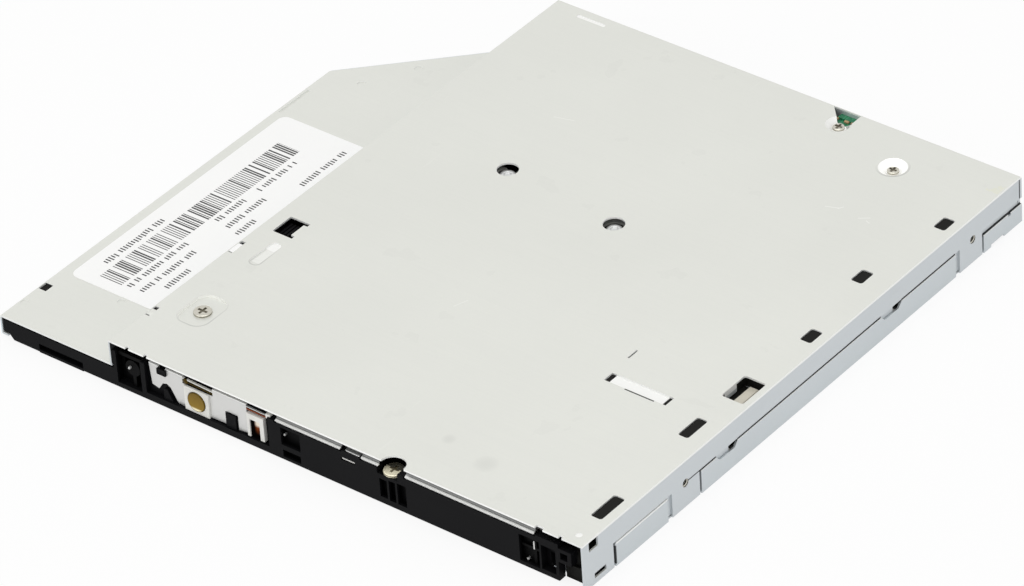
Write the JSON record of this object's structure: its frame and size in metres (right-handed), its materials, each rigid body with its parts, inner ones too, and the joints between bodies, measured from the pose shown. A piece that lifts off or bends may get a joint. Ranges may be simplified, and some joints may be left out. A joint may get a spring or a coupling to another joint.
{
  "type": "slim dvd writer",
  "caption": "Slim tray-loading optical disc writer without bezel, underside up, with a low side wing, sliding tray, spindle, moving pickup, latch and eject button.",
  "frame": {"origin": "centre of the footprint on the lid's outer face, which the drive lies on", "axes": "+Z out of the bottom case, which faces up; -Y towards the tray front; +X away from the low wing"},
  "size_m": [0.128, 0.126, 0.0095],
  "materials": {
    "case_steel": "satin galvanised sheet",
    "lid_steel": "satin galvanised sheet",
    "label_paper": "matt printed paper",
    "pressed_steel": "plain pressed sheet",
    "screw_steel": "nickel plated",
    "gold_screw": "yellow passivated",
    "board_green": "solder mask",
    "nut_brass": "plain",
    "chip_black": "moulded package",
    "capacitor_beige": "plain",
    "socket_white": "moulded",
    "connector_black": "moulded",
    "contact_gold": "gold plated",
    "guide_black": "moulded",
    "flex_film": "printed film",
    "tray_black": "moulded satin",
    "damper_rubber": "soft",
    "rod_steel": "ground",
    "core_steel": "laminated",
    "coil_copper": "enamelled wire",
    "rotor_metal": "turned",
    "claw_plastic": "moulded",
    "motor_can": "plated can",
    "pickup_metal": "cast",
    "pickup_plastic": "moulded",
    "magnet": "nickel plated",
    "lens_glass": "coated lens",
    "lever_plastic": "moulded",
    "switch_white": "moulded",
    "dome_gold": "plated",
    "lamp_amber": "tinted"
  },
  "bodies": {
    "case": {"bottom_case": "case_steel", "top_case": "lid_steel", "label": "label_paper", "latch_post": "screw_steel", "case_screws": "screw_steel", "main_board": "board_green", "board_nuts": "nut_brass", "controller_chip": "chip_black", "driver_chip": "chip_black", "board_capacitors": "capacitor_beige", "board_flex_socket": "socket_white", "sata_connector": "connector_black", "sata_contacts": "contact_gold", "rail_guide_right": "guide_black", "flex_cable": "flex_film"},
    "rail_left": {"slide_rail_left": "pressed_steel"},
    "rail_right": {"slide_rail_right": "pressed_steel"},
    "tray": {"tray": "tray_black", "under_plate": "pressed_steel", "tray_screws": "gold_screw", "tray_flex_socket": "socket_white", "traverse_chassis": "pressed_steel", "damper_bushes": "damper_rubber", "damper_screws": "screw_steel", "guide_rod_main": "rod_steel", "guide_rod_sub": "rod_steel", "spindle_base": "pressed_steel", "stator_core": "core_steel", "stator_coils": "coil_copper", "feed_motor": "motor_can", "solenoid": "motor_can", "switch_bracket": "pressed_steel", "eject_switch_body": "switch_white", "indicator_lamp": "switch_white", "lamp_window": "lamp_amber"},
    "spindle": {"rotor": "rotor_metal", "disc_pad": "damper_rubber"},
    "claw_1": {"chuck_claw_1": "claw_plastic"},
    "claw_2": {"chuck_claw_2": "claw_plastic"},
    "claw_3": {"chuck_claw_3": "claw_plastic"},
    "pickup": {"pickup_base": "pickup_metal", "pickup_cover": "pressed_steel", "feed_nut": "pickup_plastic", "actuator_magnets": "magnet"},
    "lens": {"lens_holder": "pickup_plastic", "objective_lens": "lens_glass"},
    "lead_screw_body": {"lead_screw": "rod_steel"},
    "latch": {"latch_lever": "lever_plastic"},
    "plunger": {"solenoid_plunger": "motor_can"},
    "eject_button": {"eject_dome": "dome_gold"}
  },
  "joints": [
    {"name": "tray_slide", "type": "slide", "parent": "case", "child": "tray", "axis": [0, -1, 0], "range_m": [0, 0.125], "deforming": ["flex_cable"]},
    {"name": "rail_left_slide", "type": "slide", "parent": "case", "child": "rail_left", "axis": [0, -1, 0], "range_m": [0, 0.0625]},
    {"name": "rail_right_slide", "type": "slide", "parent": "case", "child": "rail_right", "axis": [0, -1, 0], "range_m": [0, 0.0625]},
    {"name": "spindle_spin", "type": "hinge", "parent": "tray", "child": "spindle", "pos_m": [0, 0, 0.003], "axis": [0, 0, 1], "continuous": true},
    {"name": "claw_1_press", "type": "slide", "parent": "spindle", "child": "claw_1", "axis": [-0.6428, 0.766, 0], "range_m": [0, 0.0005], "stiffness_N_per_m": 300},
    {"name": "claw_2_press", "type": "slide", "parent": "spindle", "child": "claw_2", "axis": [-0.342, -0.9397, 0], "range_m": [0, 0.0005], "stiffness_N_per_m": 300},
    {"name": "claw_3_press", "type": "slide", "parent": "spindle", "child": "claw_3", "axis": [0.9848, 0.1736, 0], "range_m": [0, 0.0005], "stiffness_N_per_m": 300},
    {"name": "pickup_feed", "type": "slide", "parent": "tray", "child": "pickup", "axis": [0.6428, -0.766, 0], "range_m": [0, 0.033]},
    {"name": "lead_screw_turn", "type": "hinge", "parent": "tray", "child": "lead_screw_body", "pos_m": [0.0395, -0.01907, 0.00595], "axis": [0.6428, -0.766, 0], "continuous": true},
    {"name": "lens_focus", "type": "slide", "parent": "pickup", "child": "lens", "axis": [0, 0, 1], "range_m": [-0.0003, 0.0003], "stiffness_N_per_m": 60},
    {"name": "latch_turn", "type": "hinge", "parent": "tray", "child": "latch", "pos_m": [-0.026, -0.0375, 0.0068], "axis": [0, 0, 1], "range_deg": [0, 25]},
    {"name": "plunger_slide", "type": "slide", "parent": "tray", "child": "plunger", "axis": [1, 0, 0], "range_m": [0, 0.0028], "stiffness_N_per_m": 40},
    {"name": "eject_press", "type": "slide", "parent": "tray", "child": "eject_button", "axis": [0, 1, 0], "range_m": [0, 0.0002], "stiffness_N_per_m": 1000}
  ],
  "couplings": [
    {"joint": "rail_left_slide", "follows": "tray_slide", "ratio": 0.5},
    {"joint": "rail_right_slide", "follows": "tray_slide", "ratio": 0.5},
    {"joint": "lead_screw_turn", "follows": "pickup_feed", "rad_per_m": 2094.4},
    {"joint": "latch_turn", "follows": "plunger_slide", "rad_per_m": 153.85}
  ]
}
